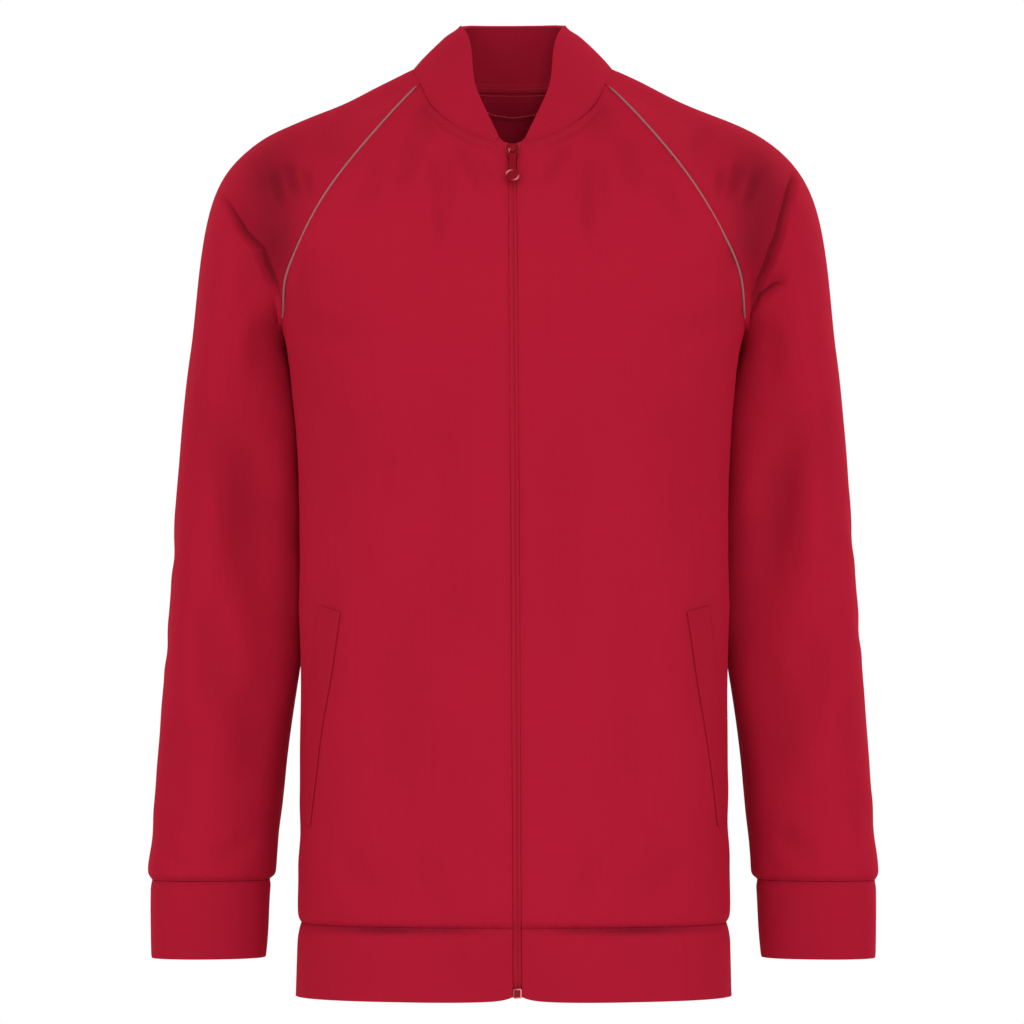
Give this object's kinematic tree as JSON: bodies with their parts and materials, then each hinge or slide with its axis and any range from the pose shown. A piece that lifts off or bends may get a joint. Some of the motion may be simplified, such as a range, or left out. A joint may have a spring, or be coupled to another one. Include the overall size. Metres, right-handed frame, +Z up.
{
  "type": "zip-front raglan track jacket, filled out as worn",
  "caption": "Raglan track jacket with a short stand collar, full front zip with a swinging pull tab, welt pockets, piping, and doubled-knit cuffs and waistband; hollow and open as worn.",
  "frame": {"origin": "midway between the two side neck points, where the jacket hangs on its wearer's shoulders", "axes": "+Z up, the garment's front faces -Y, +X is towards the wearer's left sleeve"},
  "size_m": [0.568, 0.2446, 0.758],
  "materials": {
    "jersey": "smooth matt warp knit",
    "double_knit": "matt doubled knit",
    "zip_tape": "woven tape",
    "zip_fittings": "lacquered to match the cloth",
    "piping": "satin grey-taupe cord"
  },
  "bodies": {
    "jacket": {"front_left": "jersey", "front_right": "jersey", "back": "jersey", "sleeve_left": "jersey", "sleeve_right": "jersey", "back_neck_facing": "jersey", "pocket_welt_left": "jersey", "pocket_welt_right": "jersey", "collar": "double_knit", "waistband": "double_knit", "cuff_left": "double_knit", "cuff_right": "double_knit", "back_neck_tape": "double_knit", "zip_tape_left": "zip_tape", "zip_tape_right": "zip_tape", "zip_chain": "zip_fittings", "zip_slider": "zip_fittings", "zip_box": "zip_fittings", "piping_left": "piping", "piping_right": "piping"},
    "pull_tab": {"pull_tab": "zip_fittings"}
  },
  "joints": [
    {"name": "pull_tab_swing", "type": "hinge", "parent": "jacket", "child": "pull_tab", "pos_m": [-0.00094, -0.08382, -0.06575], "axis": [-1, 0, 0], "range_deg": [0, 150]}
  ]
}
